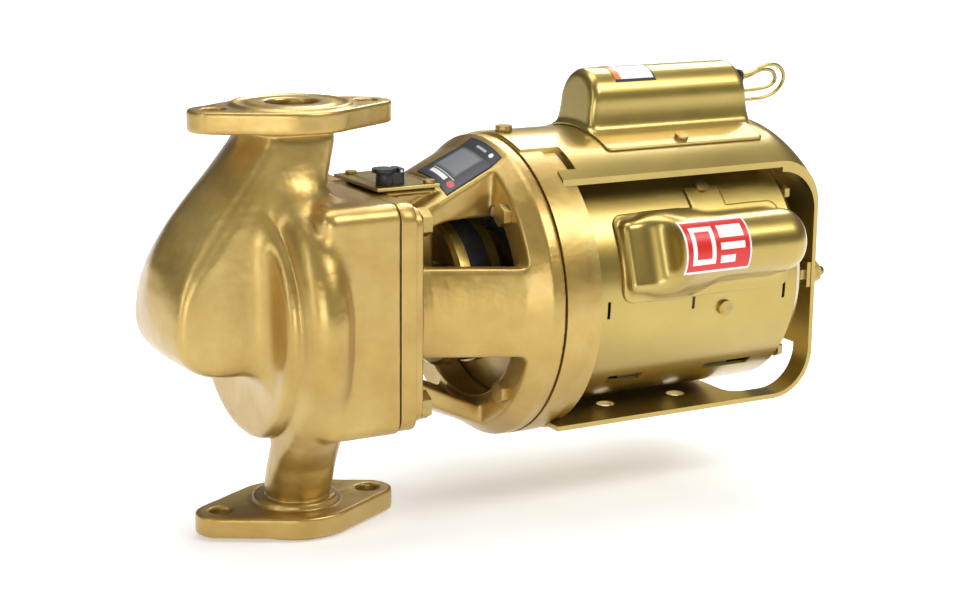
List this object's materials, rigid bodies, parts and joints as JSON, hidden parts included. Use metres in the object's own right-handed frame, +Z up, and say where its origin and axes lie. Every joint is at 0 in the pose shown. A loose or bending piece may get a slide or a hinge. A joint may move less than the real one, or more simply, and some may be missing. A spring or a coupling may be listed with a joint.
{
  "type": "centrifugal water pump",
  "caption": "In-line centrifugal water pump: a flanged volute casing, an open bearing bracket with coupling, and a cradle-mounted electric motor.",
  "frame": {"origin": "centre of the lower pipe flange's gasket face", "axes": "+Z up through both pipe ports, +X along the shaft from pump to motor"},
  "size_m": [0.3763, 0.1702, 0.2238],
  "materials": {
    "casting_paint": "metallic bronze enamel over sand-cast iron, slightly rough",
    "sheet_paint": "metallic bronze enamel over pressed steel, satin gloss",
    "machined_steel": "turned",
    "zinc_fastener": "overpainted fastener",
    "bronze": "cast and machined",
    "black_rubber": "matte",
    "gasket_fibre": "pressed fibre",
    "carbon": "lapped carbon",
    "ceramic_seat": "lapped",
    "black_moulding": "moulded",
    "capacitor_case": "moulded",
    "winding_copper": "enamelled wire",
    "lamination_steel": "stacked laminations",
    "cast_aluminium": "die cast",
    "nameplate_foil": "dark printed foil",
    "label_film": "white film",
    "sticker_film": "red and white film",
    "lead_sleeve": "overpainted insulation"
  },
  "bodies": {
    "frame": {"volute_casing": "casting_paint", "cover_plate": "casting_paint", "cover_gasket": "gasket_fibre", "seal_seat": "ceramic_seat", "bearing_bracket": "casting_paint", "front_bearing": "bronze", "rear_bearing": "bronze", "reservoir_gasket": "gasket_fibre", "reservoir_cover": "sheet_paint", "reservoir_screws": "zinc_fastener", "oil_cup_body": "black_moulding", "oil_cup_pin": "machined_steel", "casing_bolts": "zinc_fastener", "ring_bolts": "zinc_fastener", "nameplate": "nameplate_foil", "mounting_ring": "casting_paint", "front_mount_rubber": "black_rubber", "front_end_bell": "sheet_paint", "rear_end_bell": "sheet_paint", "motor_front_bearing": "bronze", "motor_rear_bearing": "bronze", "motor_shell": "sheet_paint", "ground_screw": "zinc_fastener", "stator_core": "lamination_steel", "stator_windings": "winding_copper", "start_switch": "black_moulding", "through_bolts": "zinc_fastener", "motor_yoke": "sheet_paint", "yoke_screws": "zinc_fastener", "rear_clamp": "sheet_paint", "rear_mount_rubber": "black_rubber", "clamp_screw": "zinc_fastener", "clamp_nut": "zinc_fastener", "start_capacitor_cover": "sheet_paint", "start_cover_screws": "zinc_fastener", "start_capacitor": "capacitor_case", "capacitor_label": "label_film", "run_capacitor_cover": "sheet_paint", "run_capacitor": "capacitor_case", "run_cover_screws": "zinc_fastener", "run_cover_label": "sticker_film", "wire_grommet": "black_rubber", "lead_wire_outer": "lead_sleeve", "lead_wire_inner": "lead_sleeve"},
    "motor_rotor": {"coupler_insert": "black_rubber", "coupler_motor_hub": "sheet_paint", "coupler_motor_screw": "machined_steel", "motor_shaft": "machined_steel", "rotor_core": "lamination_steel", "cooling_fan": "cast_aluminium", "start_governor": "black_moulding"},
    "pump_rotor": {"impeller": "bronze", "impeller_nut": "bronze", "pump_shaft": "machined_steel", "seal_head": "carbon", "seal_spring": "machined_steel", "oil_slinger": "bronze", "coupler_pump_hub": "sheet_paint", "coupler_pump_screw": "machined_steel"},
    "oil_cup_cap": {"oil_cup_lid": "black_moulding"}
  },
  "joints": [
    {"name": "motor_spin", "type": "hinge", "parent": "frame", "child": "motor_rotor", "pos_m": [0.2, 0, 0.1134], "axis": [1, 0, 0], "continuous": true},
    {"name": "pump_spin", "type": "hinge", "parent": "frame", "child": "pump_rotor", "pos_m": [0.05, 0, 0.1134], "axis": [1, 0, 0], "continuous": true},
    {"name": "oil_cup_hinge", "type": "hinge", "parent": "frame", "child": "oil_cup_cap", "pos_m": [0.0502, -0.016, 0.1807], "axis": [0, 1, 0], "range_deg": [0, 95], "stiffness_Nm_per_rad": 0.002}
  ],
  "couplings": [
    {"joint": "pump_spin", "follows": "motor_spin", "ratio": 1}
  ]
}
